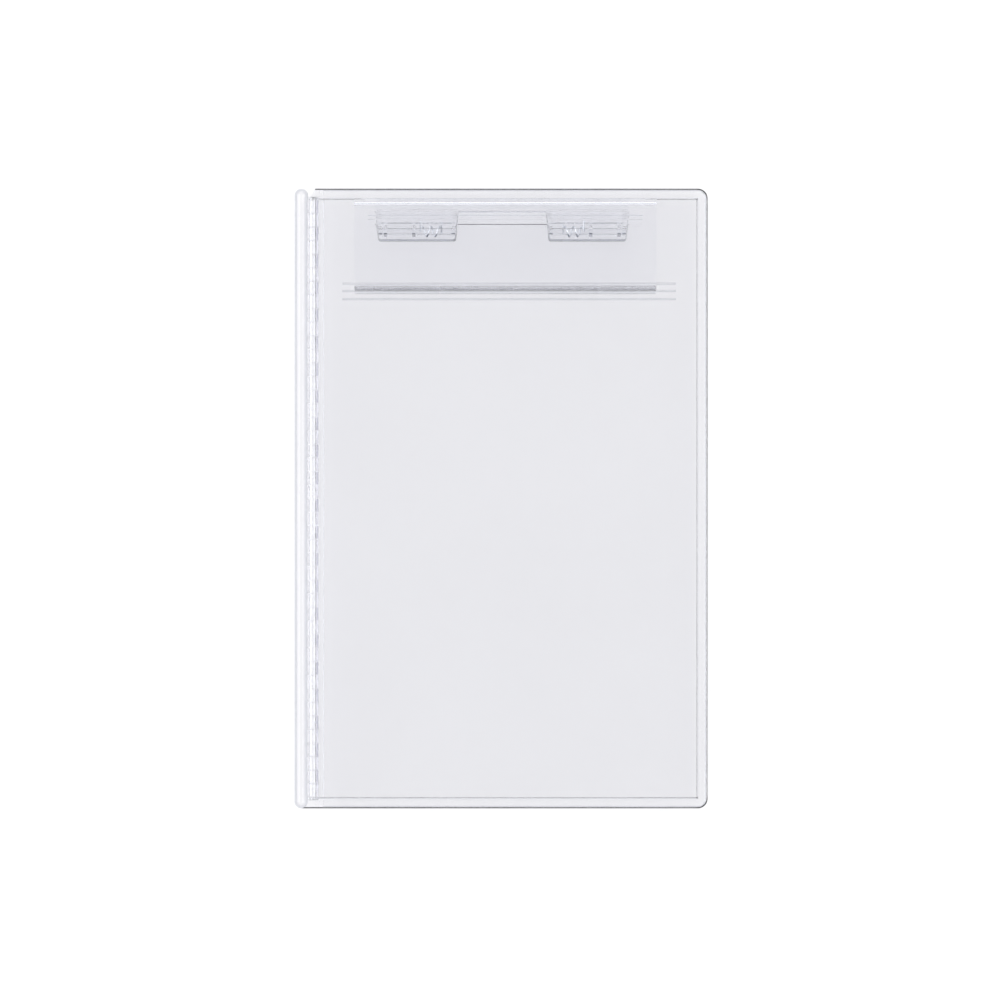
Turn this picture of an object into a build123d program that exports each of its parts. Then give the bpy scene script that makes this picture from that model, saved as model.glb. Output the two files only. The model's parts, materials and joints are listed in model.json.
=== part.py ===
from build123d import *
import os

# A clear plastic clipboard case lying on its back: a shallow case back with a rounded spine down its
# left side, and a board with a sprung clip, hinged to the spine by a row of fine knuckles.
# Millimetres, +Z out of the clip side, +Y towards the clip, +X to the right. The origin is the middle
# of the footprint, on the table.

# Driving dimensions: the case back and the board
WIDTH = 152.4                  # six inches, over the spine
LENGTH = 228.6                 # nine inches
THICKNESS = 6.4                # table to the board's clip side, closed
LEAF_GAP = 0.2                 # daylight between the case back's rim and the board
BOND_LINE = 0.04               # seam left between two bonded or pressed pieces
CORNER_RADIUS = 3.6
EDGE_ROUND = 0.8               # outer edges of the case back and the board
BOARD_INSET = 0.6              # the board and its strip stop this far inside the case back's edge
RIM_WIDTH = 4.0                # solid border of the case back, at the foot of its inner walls
BOARD_THICKNESS = 2.0
BACK_PLATE = 1.3               # floor of the case back inside its rim
RIM_DRAFT = 10.0               # slope of the rim's inner walls, in degrees
PAPER_RIB_YS = (73.5, 76.5, 79.2)
PAPER_RIB_LENGTH = 123.0
PAPER_RIB_CENTRE_X = 3.0
RIB_WIDTH = 0.7
RIB_HEIGHT = 0.35
GATE_RADIUS = 0.6              # small raised discs left where the plastic entered the mould
GATE_HEIGHT = 0.15
GATE_X = -2.2
BOARD_GATE_Y = 112.4
LEVER_GATE_Y = 92.7

# The hinge
SPINE_WIDTH = 5.0
SPINE_HEIGHT = 6.1
HINGE_X = -69.3                # the axis, level with the board's clip side
KNUCKLE_RADIUS = 2.1
KNUCKLE_PITCH = 5.0
KNUCKLE_COUNT = 44             # shared by the two strips in turn
KNUCKLE_GAP = 0.2
HINGE_CLEARANCE = 0.25         # knuckles to the strip opposite
BOARD_STRIP_WIDTH = 1.65
STRIP_ROUND = 0.35
WEB_OVERLAP = 0.5              # of a knuckle's web with its strip
BACK_STRIP_TOP = 4.0
PIN_RADIUS = 0.8
PIN_RUNNING_FIT = 0.08         # radial, in the knuckles that turn on the pin
PIN_REACH = 0.6                # past each end of the knuckle row
CAP_LENGTH = 1.0
CAP_ROUND = 0.4
END_LUG_LEFT = -68.4           # the board strip reaches this far over the ends of the knuckle row
END_LUG_LENGTH = 2.2
END_LUG_TOP = 0.4              # below the board's clip side
NOTCH_DEPTH = 3.3              # V between the spine and the case back at the head
NOTCH_WIDTH = (1.0, 3.2)       # from the spine's face: at its bottom, at the head

# The clip
LEVER_CENTRE_X = 1.6
BASE_CENTRE_X = 0.45           # the base, its pins and the springs sit a little left of the lever's middle
LEVER_WIDTH = 110.9
LEVER_THICKNESS = 1.8
LEVER_TOP = 9.0                # top of the thumb plate above the board
LEVER_FALL = 0.12              # slope of the plate from its bend down to the jaw
LEVER_END_SLOPE = (5.0, 0.9)   # the ends fall off over this width, by this much
THUMB_EDGE_Y = 110.1
LIP_THICKNESS = (1.2, 2.3)     # at its lower edge, at its root
LIP_BOTTOM = 6.2
BEND_Y = 94.8
JAW_SHOULDER_Y = 78.4
JAW_FRONT_Y = 74.9
JAW_BACK_Y = 77.3
JAW_LEAN = 1.6                 # of the jaw's inner face
JAW_LIFT = 0.5                 # underside of the jaw above the board
GRIP_RIB_HEIGHT = 0.25
GRIP_RIB_YS = (100.8, 102.5, 104.1, 105.7)
PIVOT_Y = 98.2
PIVOT_HEIGHT = 4.4             # above the board
PIVOT_RADIUS = 1.2
PIVOT_FIT = 0.06
PIVOT_REACH = (17.1, 45.6)     # ends of a pin, from the base's middle, flush with the cheeks
BASE_PLATE = 1.4
BASE_STRIP_Y = (105.4, 110.0)
STRIP_SLOPE = 0.5              # run of the strip's sloping front edge
TAB_FRONT_Y = 94.7
TAB_INNER_X = (16.0, 17.0)     # inner side of a tab, from the base's middle: at its root, at its front
TAB_OUTER_X = (46.8, 45.7)     # outer side, likewise
TAB_CORNER_RADIUS = 1.2
TAB_DRAFT = 5.0                # slope of the outer walls, in degrees
CHEEK_THICKNESS = 1.8          # at the board
CHEEK_SHOULDER_Y = 99.8        # the cheeks fall from here to the strip
FRONT_WALL = 1.3               # at the board
CHEEK_TOP = 6.5
LUG_RADIUS = 2.2
LUG_THICKNESS = 1.2
LUG_NECK = 1.6                 # half the width of a lug where it meets the plate
LUG_XS = (32.5, 42.9)          # middles of the lever's lugs, from the base's middle

# The torsion springs
WIRE_RADIUS = 0.3
COIL_RADIUS = 1.85             # to the middle of the wire
COIL_PITCH = 3.1
COIL_TURNS = 2.5
SPRING_START_X = 22.3          # first end of the coil, from the base's middle
LOWER_LEG_END = (101.6, 2.0)   # Y, and height above the board
UPPER_LEG_END = (102.0, 6.6)
BEND_FULLNESS = 1.1            # of the wire where it leaves the coil

NEAR = 0.01                    # an edge this close to a place is taken to be on it

# Worked-out places
RIGHT_X = WIDTH / 2
END_Y = LENGTH / 2
BOARD_END_Y = END_Y - BOARD_INSET
BOARD_Z = THICKNESS
BOARD_UNDERSIDE = BOARD_Z - BOARD_THICKNESS
BACK_RIM_Z = BOARD_UNDERSIDE - LEAF_GAP
SPINE_MIDDLE_X = -RIGHT_X + SPINE_WIDTH / 2
SPINE_FACE_X = -RIGHT_X + SPINE_WIDTH
STRIP_LEFT = HINGE_X + KNUCKLE_RADIUS + HINGE_CLEARANCE
BOARD_LEFT = STRIP_LEFT + BOARD_STRIP_WIDTH
ROW_END = KNUCKLE_PITCH * KNUCKLE_COUNT / 2
PIVOT_Z = BOARD_Z + PIVOT_HEIGHT


def box_between(low, high):
    """A box from its lowest to its highest corner."""
    size = [b - a for a, b in zip(low, high)]
    return Pos(*low) * Box(*size, align=(Align.MIN, Align.MIN, Align.MIN))


def prism_x(points, x_low, x_high):
    """A prism along X on a closed outline of (y, z) points."""
    face = make_face(Polyline([(x_low, y, z) for y, z in points], close=True))
    return extrude(face, amount=x_high - x_low, dir=(1, 0, 0))


def prism_z(points, z_low, z_high):
    """A prism along Z on a closed outline of (x, y) points."""
    face = make_face(Polyline([(x, y, z_low) for x, y in points], close=True))
    return extrude(face, amount=z_high - z_low, dir=(0, 0, 1))


def rod_x(x_low, x_high, y, z, radius):
    return Pos((x_low + x_high) / 2, y, z) * Rot(0, 90, 0) * Cylinder(radius, x_high - x_low)


def rod_y(y_low, y_high, x, z, radius):
    return Pos(x, (y_low + y_high) / 2, z) * Rot(90, 0, 0) * Cylinder(radius, y_high - y_low)


def leaf(left, inset, z_low, z_high, round_z):
    """A flat slab with two rounded corners on its right and a rounded outer edge at round_z."""
    slab = box_between((left, -END_Y + inset, z_low), (RIGHT_X - inset, END_Y - inset, z_high))
    slab = fillet(slab.edges().filter_by(Axis.Z).group_by(Axis.X)[-1], CORNER_RADIUS - inset)
    rim = [e for e in slab.edges().filter_by_position(Axis.Z, round_z - NEAR, round_z + NEAR)
           if e.center().X > left + NEAR]
    return fillet(rim, EDGE_ROUND)


def cross_rib(width, x_middle, y, z, height):
    """A low rib along X, standing on the level z, with sloping sides and a narrow crest."""
    half = RIB_WIDTH / 2
    crest = RIB_WIDTH / 6
    outline = [(y - half, z - half), (y - half, z), (y - crest, z + height),
               (y + crest, z + height), (y + half, z), (y + half, z - half)]
    return prism_x(outline, x_middle - width / 2, x_middle + width / 2)


def gate_mark(y, z):
    return Pos(GATE_X, y, z) * Cylinder(GATE_RADIUS, 2 * GATE_HEIGHT)


def board():
    """The plate under the paper, with three ribs where the jaw bites."""
    plate = leaf(BOARD_LEFT, BOARD_INSET, BOARD_UNDERSIDE, BOARD_Z, BOARD_Z)
    ribs = [cross_rib(PAPER_RIB_LENGTH, PAPER_RIB_CENTRE_X, y, BOARD_Z, RIB_HEIGHT) for y in PAPER_RIB_YS]
    return plate + ribs + gate_mark(BOARD_GATE_Y, BOARD_Z)


def spine():
    """The rounded bar down the left side of the case back, domed at both ends."""
    radius = SPINE_WIDTH / 2
    crown_z = SPINE_HEIGHT - radius
    reach = END_Y - radius
    outline = Pos(SPINE_MIDDLE_X, 0, 0) * SlotOverall(LENGTH, SPINE_WIDTH, rotation=90)
    bar = extrude(outline, amount=crown_z, dir=(0, 0, 1))
    bar = fillet(bar.edges().group_by(Axis.Z)[0], EDGE_ROUND)
    crown = rod_y(-reach, reach, SPINE_MIDDLE_X, crown_z, radius)
    domes = [Pos(SPINE_MIDDLE_X, side * reach, crown_z) * Sphere(radius) for side in (-1, 1)]
    return bar + crown + domes


def case_back():
    """A tray with a drafted rim on three sides and the spine on the fourth."""
    tray = leaf(SPINE_MIDDLE_X, 0, 0, BACK_RIM_Z, 0)
    low = (SPINE_FACE_X, -END_Y + RIM_WIDTH)
    high = (RIGHT_X - RIM_WIDTH, END_Y - RIM_WIDTH)
    floor = Pos((low[0] + high[0]) / 2, 0, BACK_PLATE) * Rectangle(high[0] - low[0], high[1] - low[1])
    recess = extrude(floor, amount=THICKNESS, taper=-RIM_DRAFT)
    recess = recess & box_between((SPINE_FACE_X, -END_Y, 0), (RIGHT_X, END_Y, 2 * THICKNESS))
    foot, mouth = (SPINE_FACE_X + width for width in NOTCH_WIDTH)
    notch = [(SPINE_MIDDLE_X, END_Y - NOTCH_DEPTH), (foot, END_Y - NOTCH_DEPTH),
             (mouth, END_Y + 1), (SPINE_MIDDLE_X, END_Y + 1)]
    return tray - recess - prism_z(notch, -1, THICKNESS) + spine()


def knuckle_tubes(first):
    """Every second knuckle of the row, as (lower end, upper end, tube)."""
    for place in range(first, KNUCKLE_COUNT, 2):
        low = -ROW_END + place * KNUCKLE_PITCH + KNUCKLE_GAP / 2
        high = low + KNUCKLE_PITCH - KNUCKLE_GAP
        yield low, high, rod_y(low, high, HINGE_X, BOARD_Z, KNUCKLE_RADIUS)


def pin_bore(clearance):
    return rod_y(-ROW_END, ROW_END, HINGE_X, BOARD_Z, PIN_RADIUS + clearance)


def board_hinge_strip():
    """Knuckles on a strip bonded to the board's left edge, with a lug over each end of the row."""
    strip = box_between((STRIP_LEFT, -BOARD_END_Y, BOARD_UNDERSIDE),
                        (BOARD_LEFT - BOND_LINE, BOARD_END_Y, BOARD_Z))
    strip = fillet(strip.edges().group_by(Axis.Z)[-1], STRIP_ROUND)
    pieces = []
    for low, high, tube in knuckle_tubes(0):
        web = box_between((HINGE_X, low, BOARD_Z - KNUCKLE_RADIUS), (STRIP_LEFT + WEB_OVERLAP, high, BOARD_Z))
        pieces.append(tube + web)
    for side in (-1, 1):
        ends = sorted((side * (BOARD_END_Y - END_LUG_LENGTH), side * BOARD_END_Y))
        lug = box_between((END_LUG_LEFT, ends[0], BOARD_UNDERSIDE),
                          (STRIP_LEFT + WEB_OVERLAP, ends[1], BOARD_Z - END_LUG_TOP))
        pieces.append(fillet(lug.edges().filter_by(Axis.Z).group_by(Axis.X)[0], EDGE_ROUND))
    return strip + pieces - pin_bore(PIN_RUNNING_FIT)


def back_hinge_strip():
    """Knuckles on a strip bonded upright against the spine, inside the case back."""
    left = SPINE_FACE_X + BOND_LINE
    strip = box_between((left, -ROW_END, BACK_PLATE + BOND_LINE), (HINGE_X, ROW_END, BACK_STRIP_TOP))
    pieces = []
    for low, high, tube in knuckle_tubes(1):
        web = box_between((left, low, BACK_STRIP_TOP - WEB_OVERLAP), (HINGE_X, high, BOARD_Z))
        pieces.append(tube + web)
    return strip + pieces - pin_bore(BOND_LINE)


def hinge_pin():
    reach = ROW_END + PIN_REACH
    return rod_y(-reach, reach, HINGE_X, BOARD_Z, PIN_RADIUS)


def hinge_pin_cap(side):
    """A round cap pressed on one end of the pin, with a blind bore."""
    inner = ROW_END + KNUCKLE_GAP / 2
    cap = rod_y(inner, inner + CAP_LENGTH, HINGE_X, BOARD_Z, KNUCKLE_RADIUS)
    cap = fillet(cap.edges().group_by(Axis.Y)[-1], CAP_ROUND)
    cap = cap - rod_y(inner, ROW_END + PIN_REACH + BOND_LINE, HINGE_X, BOARD_Z, PIN_RADIUS + BOND_LINE)
    return cap if side > 0 else cap.mirror(Plane.XZ)


def tab_outline(side, inset):
    """Plan of one tab of the clip base, drawn in by inset, its points always counter-clockwise."""
    root = BASE_STRIP_Y[0] + TAB_CORNER_RADIUS
    front = TAB_FRONT_Y + (FRONT_WALL if inset else 0)
    points = [
        (TAB_INNER_X[0] + inset, root),
        (TAB_INNER_X[1] + inset, front),
        (TAB_OUTER_X[1] - inset, front),
        (TAB_OUTER_X[0] - inset, root),
    ]
    return [(BASE_CENTRE_X + side * x, y) for x, y in points][::side]


def tab_housing(side):
    """One tab: a floor, and a drafted wall round three sides that carries the pivot pin."""
    base = BOARD_Z + BOND_LINE
    top = BOARD_Z + CHEEK_TOP
    plan = make_face(Polyline([(x, y, base) for x, y in tab_outline(side, 0)], close=True))
    plan = fillet(plan.vertices().group_by(Axis.Y)[0], TAB_CORNER_RADIUS)
    block = extrude(plan, amount=top - base, taper=TAB_DRAFT)
    block = block - prism_z(tab_outline(side, CHEEK_THICKNESS), BOARD_Z + BASE_PLATE, top + 1)
    fall = [(CHEEK_SHOULDER_Y, top), (BASE_STRIP_Y[0], BOARD_Z + BASE_PLATE),
            (BASE_STRIP_Y[1], BOARD_Z + BASE_PLATE), (BASE_STRIP_Y[1], top + 1), (CHEEK_SHOULDER_Y, top + 1)]
    return block - prism_x(fall, -RIGHT_X, RIGHT_X)


def clip_base():
    """A strip along the head of the board with two walled tabs."""
    low, high = BOARD_Z + BOND_LINE, BOARD_Z + BASE_PLATE
    front, back = BASE_STRIP_Y
    section = [(front, low), (back, low), (back, high), (front + STRIP_SLOPE, high)]
    strip = prism_x(section, BASE_CENTRE_X - TAB_OUTER_X[0], BASE_CENTRE_X + TAB_OUTER_X[0])
    strip = fillet(strip.edges().filter_by(Axis.Z).group_by(Axis.Y)[-1], TAB_CORNER_RADIUS)
    base = strip + tab_housing(-1) + tab_housing(1)
    return base - rod_x(-RIGHT_X, RIGHT_X, PIVOT_Y, PIVOT_Z, PIVOT_RADIUS + BOND_LINE)


def pivot_pin(side):
    """A clear pin across one tab, its ends flush with the drafted cheeks."""
    ends = sorted(BASE_CENTRE_X + side * x for x in PIVOT_REACH)
    return rod_x(ends[0], ends[1], PIVOT_Y, PIVOT_Z, PIVOT_RADIUS)


def leg(start, end):
    """A straight stretch of spring wire, with a slightly fuller bend where it leaves the coil."""
    wire = Plane(origin=start, z_dir=end - start) * Cylinder(
        WIRE_RADIUS, (end - start).length, align=(Align.CENTER, Align.CENTER, Align.MIN))
    return wire + Pos(start) * Sphere(WIRE_RADIUS * BEND_FULLNESS)


def torsion_spring(side):
    """An open coil round the pin with two legs towards the thumb edge, below and above."""
    start_x = BASE_CENTRE_X - SPRING_START_X
    frame = Plane(origin=(start_x, PIVOT_Y, PIVOT_Z), x_dir=(0, 0, -1), z_dir=(-1, 0, 0))
    path = frame * Helix(COIL_PITCH, COIL_PITCH * COIL_TURNS, COIL_RADIUS)
    section = Plane(origin=path @ 0, z_dir=path % 0) * Circle(WIRE_RADIUS)
    coil = sweep(section, path=path, is_frenet=True)
    lower, upper = path @ 0, path @ 1
    lower_end = Vector(lower.X, LOWER_LEG_END[0], BOARD_Z + LOWER_LEG_END[1])
    upper_end = Vector(upper.X, UPPER_LEG_END[0], BOARD_Z + UPPER_LEG_END[1])
    spring = coil + leg(lower, lower_end) + leg(upper, upper_end)
    return spring if side < 0 else spring.mirror(Plane.YZ.offset(BASE_CENTRE_X))


def lever_lug(x):
    """A lug under the thumb plate, rounded about the pivot."""
    low, high = x - LUG_THICKNESS / 2, x + LUG_THICKNESS / 2
    top = BOARD_Z + LEVER_TOP - LEVER_THICKNESS / 2
    web = box_between((low, PIVOT_Y - LUG_NECK, PIVOT_Z), (high, PIVOT_Y + LUG_NECK, top))
    return rod_x(low, high, PIVOT_Y, PIVOT_Z, LUG_RADIUS) + web


def lever_plate():
    """Thumb plate with a turned-down lip, sloping plate and leaning jaw, in one section along X.

    Each corner is its Y, its height above the board and the radius of its round."""
    shoulder = LEVER_TOP - (BEND_Y - JAW_SHOULDER_Y) * LEVER_FALL
    under = LEVER_TOP - LEVER_THICKNESS
    inner_y = JAW_BACK_Y + JAW_LEAN
    corners = [
        (THUMB_EDGE_Y, LIP_BOTTOM, 0.3),
        (THUMB_EDGE_Y, LEVER_TOP, 0.8),
        (BEND_Y, LEVER_TOP, 8.0),
        (JAW_SHOULDER_Y, shoulder, 2.5),
        (JAW_FRONT_Y, JAW_LIFT, 0.8),
        (JAW_BACK_Y, JAW_LIFT, 0.4),
        (inner_y, under - (BEND_Y - inner_y) * LEVER_FALL, 1.4),
        (BEND_Y, under, 6.0),
        (THUMB_EDGE_Y - LIP_THICKNESS[1], under, 0.5),
        (THUMB_EDGE_Y - LIP_THICKNESS[0], LIP_BOTTOM, 0.3),
    ]
    low = LEVER_CENTRE_X - LEVER_WIDTH / 2
    plate = prism_x([(y, BOARD_Z + z) for y, z, _ in corners], low, low + LEVER_WIDTH)
    for y, z, radius in corners:
        corner = [e for e in plate.edges().filter_by(Axis.X)
                  if abs(e.center().Y - y) < NEAR and abs(e.center().Z - BOARD_Z - z) < NEAR]
        plate = fillet(corner, radius)
    return plate


def lever_end_cut(side):
    """A wedge that takes the top off one end of the lever, so that it falls away outwards."""
    width, drop = LEVER_END_SLOPE
    edge = LEVER_CENTRE_X + side * LEVER_WIDTH / 2
    top = BOARD_Z + LEVER_TOP
    outline = [(edge - side * width, top), (edge + side, top - drop * (1 + 1 / width)),
               (edge + side, top + 1), (edge - side * width, top + 1)]
    face = make_face(Polyline([(x, JAW_FRONT_Y - 1, z) for x, z in outline], close=True))
    return extrude(face, amount=THUMB_EDGE_Y - JAW_FRONT_Y + 2, dir=(0, 1, 0))


def clip_lever():
    """One moulding: the plate, four grip ribs along the thumb side and four lugs on the pins."""
    plate = lever_plate()
    width = LEVER_WIDTH - 2 * LEVER_END_SLOPE[0]
    ribs = [cross_rib(width, LEVER_CENTRE_X, y, BOARD_Z + LEVER_TOP, GRIP_RIB_HEIGHT) for y in GRIP_RIB_YS]
    gate = gate_mark(LEVER_GATE_Y, BOARD_Z + LEVER_TOP - (BEND_Y - LEVER_GATE_Y) * LEVER_FALL)
    lugs = [lever_lug(BASE_CENTRE_X + side * x) for side in (-1, 1) for x in LUG_XS]
    lever = plate - lever_end_cut(-1) - lever_end_cut(1) + ribs + lugs + gate
    return lever - rod_x(-RIGHT_X, RIGHT_X, PIVOT_Y, PIVOT_Z, PIVOT_RADIUS + PIVOT_FIT)


NODES = {
    "case_back": case_back(),
    "back_hinge_strip": back_hinge_strip(),
    "hinge_pin": hinge_pin(),
    "hinge_pin_cap_head": hinge_pin_cap(1),
    "hinge_pin_cap_foot": hinge_pin_cap(-1),
    "board": board(),
    "board_hinge_strip": board_hinge_strip(),
    "clip_base": clip_base(),
    "pivot_pin_left": pivot_pin(-1),
    "pivot_pin_right": pivot_pin(1),
    "torsion_spring_left": torsion_spring(-1),
    "torsion_spring_right": torsion_spring(1),
    "clip_lever": clip_lever(),
}

os.makedirs("parts", exist_ok=True)
for name, solid in NODES.items():
    export_step(solid, f"parts/{name}.step")
    box = solid.bounding_box()
    print(f"{name:22s} {len(solid.solids())} solid {solid.volume:9.1f} mm3  {box.min} {box.max}")
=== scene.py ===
# %% [markdown]
# # A clear plastic clipboard case
# Everything on this object but two springs is clear moulded plastic, so that is what the lesson is about:
# how to get clean round surfaces, how to let light through, and which lights draw its edges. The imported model
# gives every piece its place and size, in metres, with +Z out of the clip side and +Y towards the clip.

# %% Load the frame
import json
import math

import bmesh
import bpy
from mathutils import Matrix, Vector


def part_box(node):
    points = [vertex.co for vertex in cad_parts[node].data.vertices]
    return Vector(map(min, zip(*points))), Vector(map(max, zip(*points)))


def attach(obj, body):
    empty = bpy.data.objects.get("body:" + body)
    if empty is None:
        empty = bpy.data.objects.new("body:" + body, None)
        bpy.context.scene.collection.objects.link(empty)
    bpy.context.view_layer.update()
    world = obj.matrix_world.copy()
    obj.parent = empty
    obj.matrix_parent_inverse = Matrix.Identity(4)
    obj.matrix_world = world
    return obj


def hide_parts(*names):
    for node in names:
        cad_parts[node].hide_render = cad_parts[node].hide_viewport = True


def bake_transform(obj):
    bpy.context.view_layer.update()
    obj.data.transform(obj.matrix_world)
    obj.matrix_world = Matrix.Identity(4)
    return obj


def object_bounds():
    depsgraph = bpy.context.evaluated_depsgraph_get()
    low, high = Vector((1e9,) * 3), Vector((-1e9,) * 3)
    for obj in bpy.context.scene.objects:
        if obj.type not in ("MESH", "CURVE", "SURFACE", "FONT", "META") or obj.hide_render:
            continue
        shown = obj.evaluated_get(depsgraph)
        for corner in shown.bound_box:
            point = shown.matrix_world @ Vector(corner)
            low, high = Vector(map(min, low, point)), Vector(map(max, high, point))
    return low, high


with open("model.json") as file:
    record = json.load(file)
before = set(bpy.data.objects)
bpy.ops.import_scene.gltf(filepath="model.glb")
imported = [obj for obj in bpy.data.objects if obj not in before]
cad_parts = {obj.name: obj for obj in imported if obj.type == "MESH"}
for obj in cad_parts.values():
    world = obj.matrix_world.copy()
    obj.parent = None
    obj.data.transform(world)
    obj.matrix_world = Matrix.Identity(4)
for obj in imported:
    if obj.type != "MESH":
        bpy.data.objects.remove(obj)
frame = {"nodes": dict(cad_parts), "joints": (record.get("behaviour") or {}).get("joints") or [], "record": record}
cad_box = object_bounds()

MM = 0.001
print("CAD box:", [round(length / MM, 1) for length in cad_box[1] - cad_box[0]], "mm")

# %% [markdown]
# ## Nodes by hand
# Each finish below is a small node tree. Four helpers keep the trees short: one adds a node with its settings
# and its plain input values, one makes the noise that all the finishes start from, one turns a range of that
# noise into a range of something else, and one starts a new material.
# Patterns read Object coordinates, so they sit still on a piece when it moves.


# %% Node helpers
def add_node(tree, kind, settings=None, **values):
    """A new node; settings are its attributes, and values its inputs, with _ for a space."""
    node = tree.nodes.new(kind)
    for name, value in (settings or {}).items():
        setattr(node, name, value)
    for name, value in values.items():
        node.inputs[name.replace("_", " ")].default_value = value
    return node


def noise_on_object(tree, scale, stretch=(1, 1, 1), turn=0.0, detail=2.0, roughness=0.5):
    """Noise over Object coordinates: scale is in waves per metre, stretch multiplies it along X, Y and Z."""
    place = add_node(tree, "ShaderNodeTexCoord")
    mapping = add_node(tree, "ShaderNodeMapping", Scale=stretch, Rotation=(0, 0, turn))
    noise = add_node(tree, "ShaderNodeTexNoise", Scale=scale, Detail=detail, Roughness=roughness)
    tree.links.new(place.outputs["Object"], mapping.inputs["Vector"])
    tree.links.new(mapping.outputs["Vector"], noise.inputs["Vector"])
    return noise.outputs["Fac"]


def spread(tree, value, low, high, start=0.35, end=0.65):
    """value from start to end becomes low to high."""
    node = add_node(tree, "ShaderNodeMapRange")
    for name, setting in (("From Min", start), ("From Max", end), ("To Min", low), ("To Max", high)):
        node.inputs[name].default_value = setting
    tree.links.new(value, node.inputs["Value"])
    return node.outputs["Result"]


def new_finish(name):
    material = bpy.data.materials.new(name)
    material.use_nodes = True
    tree = material.node_tree
    return material, tree, tree.nodes["Principled BSDF"], tree.nodes["Material Output"]


print("four helpers for node trees")

# %% [markdown]
# ## Clear plastic
# The Principled shader with Transmission at 1 and an IOR of 1.55 bends light as a clear rigid plastic does,
# between acrylic and polystyrene. It has one weakness: light from the lamps can't find its way through glass,
# so the table under it would be black. The usual cure is a Mix Shader on the Light Path: for shadow rays, the
# plastic is a faintly grey Transparent shader. The table's own diffuse rays need the same, or it would count
# a big lamp twice through the plastic. Moulded plastic is never as even as glass, so three patterns go on top
# of this: broad ripples where the melt flowed, a faint haze that comes and goes, and hairline scratches from
# use. The mould's upright walls are polished less than its flat ones, so the plastic's walls are a little
# rougher. Last, the colour is painted darker and bluer on steep faces, a painted shade that draws the dark
# edge lines. Every mesh below carries an attribute, steepness, which is 0 on flat faces and 1 on upright
# ones, and the painted edge shade follows it.


# %% Clear plastic as a function
IOR_CLEAR = 1.55
SHEET_SHADOW = (0.932, 0.932, 0.938)
SMALL_SHADOW = (0.980, 0.980, 0.986)
CLOUDED = 0.994
CLOUD_WAVES = 14
HAZE_WAVES = 60
RIPPLE_WAVES = 45
RIPPLE_STRETCH = (1, 0.35, 1)
HAIRLINES = ((0.35, 900), (-1.1, 700))
HAIRLINE_ALONG = 9
HAIRLINE_CUT = (0.70, 0.74)


def clear_plastic(name, tint, shadow, painted_edge_shade, edge_shade_and_haze_range, haze, wall_haze, ripple, scratches):
    """Clear moulded plastic. shadow is what each surface lets through to the table, edge_shade_and_haze_range the
    steepness over which tint becomes painted_edge_shade, a painted edge shade, and wall_haze is added, haze the
    range of roughness, wall_haze what upright walls add to it, and ripple the depth of the flow marks in metres."""
    material, tree, plastic, out = new_finish(name)
    plastic.inputs["Transmission Weight"].default_value = 1.0
    plastic.inputs["IOR"].default_value = IOR_CLEAR
    cloud = add_node(tree, "ShaderNodeMix", {"data_type": "RGBA"})
    cloud.inputs[6].default_value = (*tint, 1)
    cloud.inputs[7].default_value = (*(CLOUDED * part for part in tint), 1)
    tree.links.new(spread(tree, noise_on_object(tree, CLOUD_WAVES, detail=3), 0, 1), cloud.inputs[0])
    # Painted shade: the base colour turns to painted_edge_shade on steep faces, painting dark lines along the
    # edges.
    edge = add_node(tree, "ShaderNodeMix", {"data_type": "RGBA"})
    edge.inputs[7].default_value = (*painted_edge_shade, 1)
    steepness = add_node(tree, "ShaderNodeAttribute", {"attribute_name": "steepness"})
    tree.links.new(spread(tree, steepness.outputs["Fac"], 0, 1, *edge_shade_and_haze_range), edge.inputs[0])
    tree.links.new(cloud.outputs[2], edge.inputs[6])
    tree.links.new(edge.outputs[2], plastic.inputs["Base Color"])
    hairlines = add_node(tree, "ShaderNodeMath", {"operation": "MAXIMUM"})
    for socket, (turn, across) in enumerate(HAIRLINES):
        streak = noise_on_object(tree, 1, (across, HAIRLINE_ALONG, HAIRLINE_ALONG), turn, 1.0)
        tree.links.new(spread(tree, streak, 0, scratches, *HAIRLINE_CUT), hairlines.inputs[socket])
    total = add_node(tree, "ShaderNodeMath", {"operation": "ADD"})
    tree.links.new(spread(tree, noise_on_object(tree, HAZE_WAVES, detail=4), *haze), total.inputs[0])
    tree.links.new(hairlines.outputs[0], total.inputs[1])
    rough = add_node(tree, "ShaderNodeMath", {"operation": "ADD"})
    tree.links.new(total.outputs[0], rough.inputs[0])
    tree.links.new(spread(tree, steepness.outputs["Fac"], 0, wall_haze, *edge_shade_and_haze_range), rough.inputs[1])
    tree.links.new(rough.outputs[0], plastic.inputs["Roughness"])
    bump = add_node(tree, "ShaderNodeBump", Strength=1.0, Distance=ripple)
    tree.links.new(noise_on_object(tree, RIPPLE_WAVES, RIPPLE_STRETCH, detail=1.5), bump.inputs["Height"])
    tree.links.new(bump.outputs["Normal"], plastic.inputs["Normal"])
    shade = add_node(tree, "ShaderNodeBsdfTransparent", Color=(*shadow, 1))
    path = add_node(tree, "ShaderNodeLightPath")
    shader = plastic.outputs[0]
    for ray in ("Is Shadow Ray", "Is Diffuse Ray"):
        mix = add_node(tree, "ShaderNodeMixShader")
        tree.links.new(path.outputs[ray], mix.inputs[0])
        tree.links.new(shader, mix.inputs[1])
        tree.links.new(shade.outputs[0], mix.inputs[2])
        shader = mix.outputs[0]
    tree.links.new(shader, out.inputs["Surface"])
    return material
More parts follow.
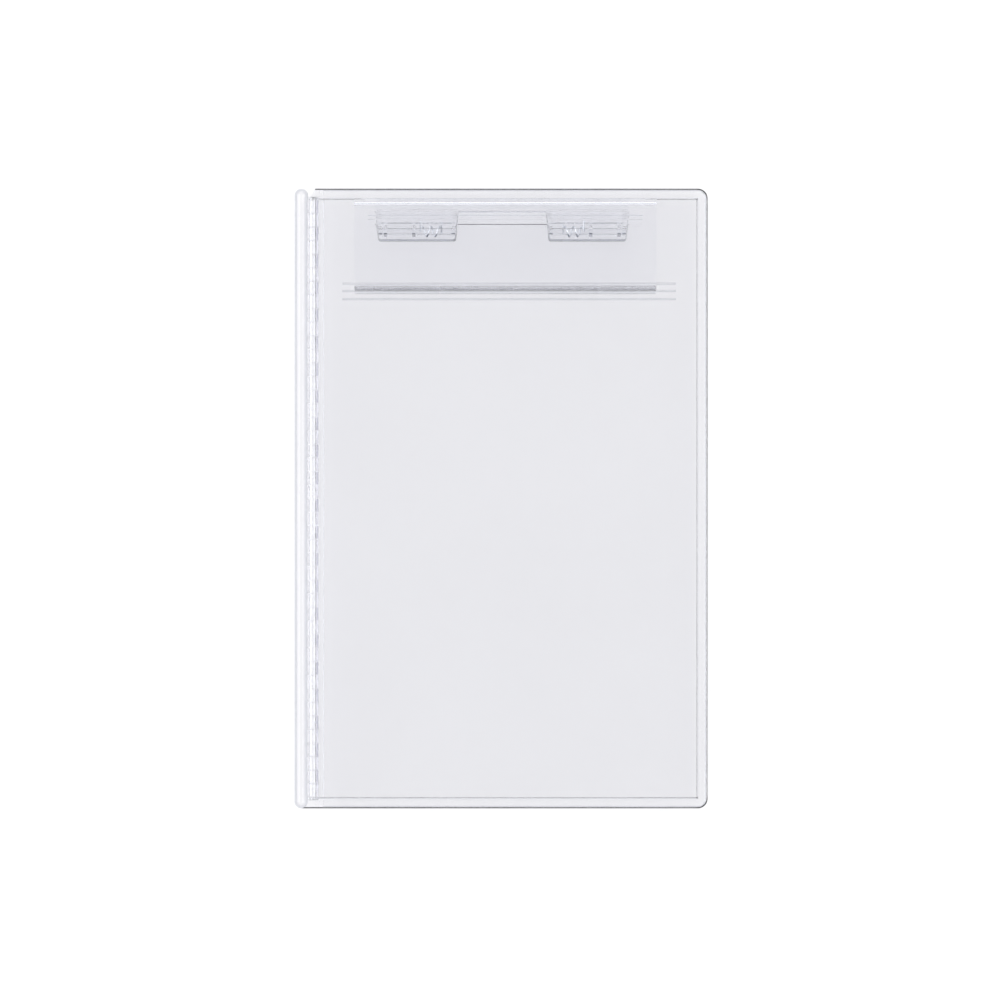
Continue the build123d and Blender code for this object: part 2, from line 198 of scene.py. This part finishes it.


# %% [markdown]
# The case back and the board are big thin mouldings, with the longest flow marks and the most scratches.
# The two clip mouldings are thicker and slightly bluer through their depth. The base gets the darkest
# painted edge shade, near black on its narrow upright walls. The hinge strips and the pins are extruded or turned,
# so they are cleaner.

# %% The clear finishes
SHEET = (0.985, 0.985, 0.99)
CLIP_BODY = (0.975, 0.977, 0.988)
PIN_BODY = (0.978, 0.982, 0.99)
# The fourth value of each finish is its painted edge shade, the colour painted on steep faces as dark edge lines.
CLEAR = {
    "case": clear_plastic("clear_case_sheet", SHEET, SHEET_SHADOW, (0.60, 0.61, 0.66), (0.02, 0.3),
                          (0.01, 0.04), 0.03, 3e-6, 0.10),
    "board": clear_plastic("clear_board_sheet", SHEET, SHEET_SHADOW, (0.50, 0.51, 0.56), (0.02, 0.3),
                           (0.01, 0.04), 0.03, 2e-6, 0.12),
    "hinge": clear_plastic("clear_hinge_moulding", SHEET, SMALL_SHADOW, (0.74, 0.74, 0.81), (0.05, 0.8),
                           (0.12, 0.20), 0.05, 2e-6, 0.03),
    "lever": clear_plastic("clear_lever_moulding", CLIP_BODY, SMALL_SHADOW, (0.78, 0.81, 0.91), (0.3, 1.0),
                           (0.015, 0.05), 0.35, 2e-6, 0.06),
    "base": clear_plastic("clear_base_moulding", CLIP_BODY, SMALL_SHADOW, (0.06, 0.08, 0.13), (0.4, 0.90),
                          (0.015, 0.05), 0.02, 2e-6, 0.06),
    "pin": clear_plastic("clear_turned_pin", PIN_BODY, SMALL_SHADOW, (0.80, 0.82, 0.87), (0.2, 1.0),
                         (0.12, 0.18), 0.02, 1e-6, 0.02),
}
print(len(CLEAR), "clear finishes")

# %% [markdown]
# ## Spring wire
# Drawn steel wire is bright, with fine lines where the die scored it. The lines are noise drawn out along X,
# the way that the coil advances, which is close enough on a wire this thin.


# %% Drawn wire
DULL_STEEL = (0.70, 0.73, 0.78, 1)
BRIGHT_STEEL = (0.86, 0.88, 0.92, 1)
STEEL_WAVES = 900
SCORE_WAVES = 5000
SCORE_STRETCH = (0.15, 1, 1)
SCORE_DEPTH = 4e-6
SCORE_ROUGHNESS = (0.22, 0.40)


def drawn_wire():
    material, tree, metal, _ = new_finish("drawn_spring_wire")
    metal.inputs["Metallic"].default_value = 1.0
    tone = add_node(tree, "ShaderNodeMix", {"data_type": "RGBA"})
    tone.inputs[6].default_value = DULL_STEEL
    tone.inputs[7].default_value = BRIGHT_STEEL
    tree.links.new(spread(tree, noise_on_object(tree, STEEL_WAVES, detail=3), 0, 1), tone.inputs[0])
    tree.links.new(tone.outputs[2], metal.inputs["Base Color"])
    score = noise_on_object(tree, SCORE_WAVES, SCORE_STRETCH, detail=2)
    tree.links.new(spread(tree, score, *SCORE_ROUGHNESS), metal.inputs["Roughness"])
    bump = add_node(tree, "ShaderNodeBump", Strength=0.4, Distance=SCORE_DEPTH)
    tree.links.new(score, bump.inputs["Height"])
    tree.links.new(bump.outputs["Normal"], metal.inputs["Normal"])
    return material


WIRE = drawn_wire()
print("spring finish:", WIRE.name)

# %% [markdown]
# ## Smooth mouldings
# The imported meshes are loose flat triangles. On an opaque part that hardly shows, but clear plastic bends
# light at every facet, so a rounded spine would look cut like a gem. Each moulding is therefore a copy of
# its node with its points merged, its soft edges shaded smooth and its sharp edges kept, and normals
# weighted by face size so that the big flat faces stay truly flat. The steepness that the finishes read
# is worked out here, from each face's normal.

# %% Which node takes which finish
FINISH_OF = {
    "case_back": "case",
    "back_hinge_strip": "hinge",
    "hinge_pin": "pin",
    "hinge_pin_cap_head": "pin",
    "hinge_pin_cap_foot": "pin",
    "board": "board",
    "board_hinge_strip": "hinge",
    "clip_base": "base",
    "pivot_pin_left": "pin",
    "pivot_pin_right": "pin",
    "clip_lever": "lever",
}
SHARP_ANGLE = math.radians(32)
WELD = 1e-6
BODY_OF = {node: body for body, nodes in frame["record"]["behaviour"]["bodies"].items() for node in nodes}


# %% Merge, smooth and weight
def smooth_copy(node, finish):
    """A welded, smoothly shaded copy of a CAD node that takes its place."""
    mesh = frame["nodes"][node].data.copy()
    shape = bmesh.new()
    shape.from_mesh(mesh)
    bmesh.ops.remove_doubles(shape, verts=shape.verts, dist=WELD)
    bmesh.ops.dissolve_degenerate(shape, edges=shape.edges, dist=WELD)
    # steepness is the mask for the painted edge shade and for the rougher walls.
    steepness = shape.faces.layers.float.new("steepness")
    for face in shape.faces:
        face.smooth = True
        face[steepness] = 1 - abs(face.normal.z)
    for edge in shape.edges:
        edge.smooth = edge.is_manifold and edge.calc_face_angle(0) < SHARP_ANGLE
    loose = sum(not edge.is_manifold for edge in shape.edges)
    shape.to_mesh(mesh)
    shape.free()
    mesh.name = node + "_moulding"
    mesh.materials.clear()
    mesh.materials.append(CLEAR[finish])
    piece = bpy.data.objects.new(node + "_moulding", mesh)
    bpy.context.scene.collection.objects.link(piece)
    weighted = piece.modifiers.new("weighted", "WEIGHTED_NORMAL")
    weighted.keep_sharp = True
    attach(piece, BODY_OF[node])
    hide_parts(node)
    return len(mesh.polygons), loose


for node, finish in FINISH_OF.items():
    faces, loose = smooth_copy(node, finish)
    print(f"{node}: {faces} faces, {loose} open edges")

# %% [markdown]
# ## Torsion springs
# Each spring is one wire: a leg, two and a half open turns round the pivot pin, and a second leg. A coil is
# a path with a rule, so a node tree makes it: a spiral, two straight legs, one continuous curve from the
# three, and a round section along it. Curve to Mesh without a section, a weld, and Mesh to Curve is the
# way to join separate curves into one, so that the bends into the legs have no seam.


# %% The coil as a node tree
STEPS_PER_TURN = 40
SECTION_POINTS = 12
JOIN_DISTANCE = 2e-5


def spring_tree():
    tree = bpy.data.node_groups.new("torsion_spring", "GeometryNodeTree")
    sockets = {
        "Coil Radius": "NodeSocketFloat", "Wire Radius": "NodeSocketFloat", "Turns": "NodeSocketFloat",
        "Length": "NodeSocketFloat", "Left Handed": "NodeSocketBool", "Coil End": "NodeSocketVector",
        "First Leg End": "NodeSocketVector", "Second Leg End": "NodeSocketVector",
        "Finish": "NodeSocketMaterial",
    }
    for name, kind in sockets.items():
        tree.interface.new_socket(name, in_out="INPUT", socket_type=kind)
    tree.interface.new_socket("Geometry", in_out="OUTPUT", socket_type="NodeSocketGeometry")
    given = add_node(tree, "NodeGroupInput").outputs
    link = tree.links.new
    coil = add_node(tree, "GeometryNodeCurveSpiral", Resolution=STEPS_PER_TURN)
    for source, target in (("Coil Radius", "Start Radius"), ("Coil Radius", "End Radius"), ("Turns", "Rotations"),
                           ("Length", "Height"), ("Left Handed", "Reverse")):
        link(given[source], coil.inputs[target])
    start = add_node(tree, "ShaderNodeCombineXYZ")
    link(given["Coil Radius"], start.inputs["X"])
    first = add_node(tree, "GeometryNodeCurvePrimitiveLine")
    link(given["First Leg End"], first.inputs["Start"])
    link(start.outputs[0], first.inputs["End"])
    second = add_node(tree, "GeometryNodeCurvePrimitiveLine")
    link(given["Coil End"], second.inputs["Start"])
    link(given["Second Leg End"], second.inputs["End"])
    joined = add_node(tree, "GeometryNodeJoinGeometry")
    for curve in (second, coil, first):
        link(curve.outputs[0], joined.inputs[0])
    wires = add_node(tree, "GeometryNodeCurveToMesh")
    link(joined.outputs[0], wires.inputs[0])
    welded = add_node(tree, "GeometryNodeMergeByDistance", Distance=JOIN_DISTANCE)
    link(wires.outputs[0], welded.inputs[0])
    path = add_node(tree, "GeometryNodeMeshToCurve")
    link(welded.outputs[0], path.inputs[0])
    section = add_node(tree, "GeometryNodeCurvePrimitiveCircle", Resolution=SECTION_POINTS)
    link(given["Wire Radius"], section.inputs["Radius"])
    wire = add_node(tree, "GeometryNodeCurveToMesh")
    wire.inputs["Fill Caps"].default_value = True
    link(path.outputs[0], wire.inputs[0])
    link(section.outputs[0], wire.inputs[1])
    smooth = add_node(tree, "GeometryNodeSetShadeSmooth")
    real = add_node(tree, "GeometryNodeRealizeInstances")
    finish = add_node(tree, "GeometryNodeSetMaterial")
    link(wire.outputs[0], smooth.inputs[0])
    link(smooth.outputs[0], real.inputs[0])
    link(real.outputs[0], finish.inputs[0])
    link(given["Finish"], finish.inputs["Material"])
    link(finish.outputs[0], add_node(tree, "NodeGroupOutput").inputs[0])
    return tree


SPRING_TREE = spring_tree()
print("spring tree inputs:", len(SPRING_TREE.interface.items_tree) - 1)


# %% Run a tree and keep its mesh
def mesh_from_tree(name, tree, values):
    """The plain mesh that a node tree makes with these input values."""
    carrier = bpy.data.objects.new(name, bpy.data.meshes.new(name + "_seed"))
    bpy.context.scene.collection.objects.link(carrier)
    modifier = carrier.modifiers.new("tree", "NODES")
    modifier.node_group = tree
    for socket in tree.interface.items_tree:
        if socket.item_type == "SOCKET" and socket.in_out == "INPUT":
            modifier[socket.identifier] = values[socket.name]
    view = bpy.context.evaluated_depsgraph_get()
    mesh = bpy.data.meshes.new_from_object(carrier.evaluated_get(view))
    bpy.data.objects.remove(carrier)
    mesh.name = name
    return mesh


# %% [markdown]
# The coil is made round its own Z axis and then laid along the pivot: its start points down, and it runs
# outwards. The right spring is the left one's mirror image, wound the other way, not a copy with a
# negative scale, which would turn its faces inside out. When the lever is pressed a torsion spring winds up
# along its length.

# %% Two springs round the pivot
WIRE_RADIUS = 0.3 * MM
COIL_RADIUS = 1.85 * MM
COIL_LENGTH = 7.75 * MM
COIL_TURNS = 2.5
LOWER_LEG = Vector((0, 3.4, -2.4)) * MM
UPPER_LEG = Vector((0, 3.8, 2.2)) * MM
BEND_FULLNESS = 1.1
CLIP_JOINT = next(joint for joint in frame["joints"] if joint["name"] == "clip")
PIVOT = Vector(CLIP_JOINT["pos_m"])


def torsion_spring(name, side):
    """A spring on one side of the clip: side is -1 on the left and 1 on the right."""
    low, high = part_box(name)
    inner_x = (high.x if side < 0 else low.x) + side * BEND_FULLNESS * WIRE_RADIUS
    outward = Vector((side, 0, 0))
    down = Vector((0, 0, -1))
    place = Matrix((down, outward.cross(down), outward)).transposed().to_4x4()
    place.translation = (inner_x, PIVOT.y, PIVOT.z)
    along = outward * COIL_LENGTH
    mesh = mesh_from_tree(name + "_wire", SPRING_TREE, {
        "Coil Radius": COIL_RADIUS, "Wire Radius": WIRE_RADIUS, "Turns": COIL_TURNS, "Length": COIL_LENGTH,
        "Left Handed": side > 0, "Coil End": Vector((-COIL_RADIUS, 0, COIL_LENGTH)),
        "First Leg End": place.to_3x3().inverted() @ LOWER_LEG,
        "Second Leg End": place.to_3x3().inverted() @ (UPPER_LEG + along), "Finish": WIRE,
    })
    mesh.transform(place)
    piece = bpy.data.objects.new(name + "_wire", mesh)
    bpy.context.scene.collection.objects.link(piece)
    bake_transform(piece)
    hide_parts(name)
    return len(mesh.polygons)


for side, word in ((-1, "left"), (1, "right")):
    print(word, "spring:", torsion_spring("torsion_spring_" + word, side), "faces")

# %% [markdown]
# ## Table, lights and camera
# Clear plastic shows only by what it bends and mirrors. On a white table under big soft lights its flat
# faces stay pale, and its edges turn grey where they bend towards the darker room, so the room is kept
# dimmer than the table. The table is matt paper, and it is a stage, not a piece.


# %% Pale table
PAPER_TONES = ((0.90, 0.90, 0.90, 1), (0.92, 0.92, 0.92, 1))
PAPER_WAVES = 300
FIBRE_WAVES = 900
PAPER_ROUGHNESS = (0.85, 0.95)


def table_paper():
    material, tree, paper, _ = new_finish("table_paper")
    paper.inputs["Specular IOR Level"].default_value = 0.2
    tone = add_node(tree, "ShaderNodeMix", {"data_type": "RGBA"})
    tone.inputs[6].default_value, tone.inputs[7].default_value = PAPER_TONES
    tree.links.new(noise_on_object(tree, PAPER_WAVES, detail=4), tone.inputs[0])
    tree.links.new(tone.outputs[2], paper.inputs["Base Color"])
    tree.links.new(spread(tree, noise_on_object(tree, FIBRE_WAVES), *PAPER_ROUGHNESS), paper.inputs["Roughness"])
    return material


TABLE_HALF = 3.0
TABLE_GAP = 0.5 * MM
TABLE_Z = cad_box[0].z - TABLE_GAP
corners = [(x * TABLE_HALF, y * TABLE_HALF, TABLE_Z) for x, y in ((-1, -1), (1, -1), (1, 1), (-1, 1))]
table_mesh = bpy.data.meshes.new("table")
table_mesh.from_pydata(corners, [], [(0, 1, 2, 3)])
table_mesh.materials.append(table_paper())
table = bpy.data.objects.new("table", table_mesh)
bpy.context.scene.collection.objects.link(table)
print("table at", round(TABLE_Z / MM, 2), "mm")

# %% Dim room
ROOM_HORIZON = (0.46, 0.465, 0.49, 1)
ROOM_ZENITH = (0.76, 0.76, 0.765, 1)
world = bpy.data.worlds.new("room")
bpy.context.scene.world = world
world.use_nodes = True
sky = world.node_tree
heading = add_node(sky, "ShaderNodeTexCoord")
height = add_node(sky, "ShaderNodeSeparateXYZ")
fade = add_node(sky, "ShaderNodeMix", {"data_type": "RGBA"})
fade.inputs[6].default_value = ROOM_HORIZON
fade.inputs[7].default_value = ROOM_ZENITH
sky.links.new(heading.outputs["Generated"], height.inputs[0])
sky.links.new(height.outputs["Z"], fade.inputs[0])
sky.links.new(fade.outputs[2], sky.nodes["Background"].inputs["Color"])
print("the room fades from its ceiling to a dim horizon")


# %% Soft lights
def softbox(name, place, size, watts):
    lamp = bpy.data.lights.new(name, "AREA")
    lamp.shape = "RECTANGLE"
    lamp.size, lamp.size_y = size
    lamp.energy = watts
    light = bpy.data.objects.new(name, lamp)
    light.location = place
    light.rotation_euler = (-Vector(place)).to_track_quat("-Z", "Y").to_euler()
    bpy.context.scene.collection.objects.link(light)


softbox("window_left", (-2.0, 0.1, 1.7), (2.4, 2.6), 41)
softbox("window_right", (2.0, 0.1, 1.7), (2.4, 2.6), 34)
softbox("window_head", (0.1, 2.6, 0.9), (2.4, 1.2), 9)

# %% [markdown]
# The camera looks straight down with a long lens from almost two metres, as for a catalogue, so the sides
# of the case hardly show. Light has to cross up to a dozen plastic walls under the clip, so the number
# of bounces is well above Blender's usual one; below that, the clip would fill with black.

# %% Camera and bounces
LENS = 200
SENSOR = 36
VIEW_WIDTH = 368.5 * MM
CAMERA_XY = (-0.37 * MM, -0.55 * MM)
BOARD_TOP = 6.4 * MM
camera = bpy.data.objects.new("camera", bpy.data.cameras.new("camera"))
bpy.context.scene.collection.objects.link(camera)
camera.data.lens = LENS
camera.data.sensor_width = SENSOR
camera.data.clip_end = 20
camera.location = (*CAMERA_XY, BOARD_TOP + VIEW_WIDTH * LENS / SENSOR)
bpy.context.scene.camera = camera
bpy.context.scene.view_settings.view_transform = "Standard"
PLASTIC_BOUNCES = 48
cycles = bpy.context.scene.cycles
cycles.max_bounces = PLASTIC_BOUNCES
cycles.transmission_bounces = PLASTIC_BOUNCES
cycles.transparent_max_bounces = 64
cycles.diffuse_bounces = 4
print("camera height:", round(camera.location.z, 2), "m")
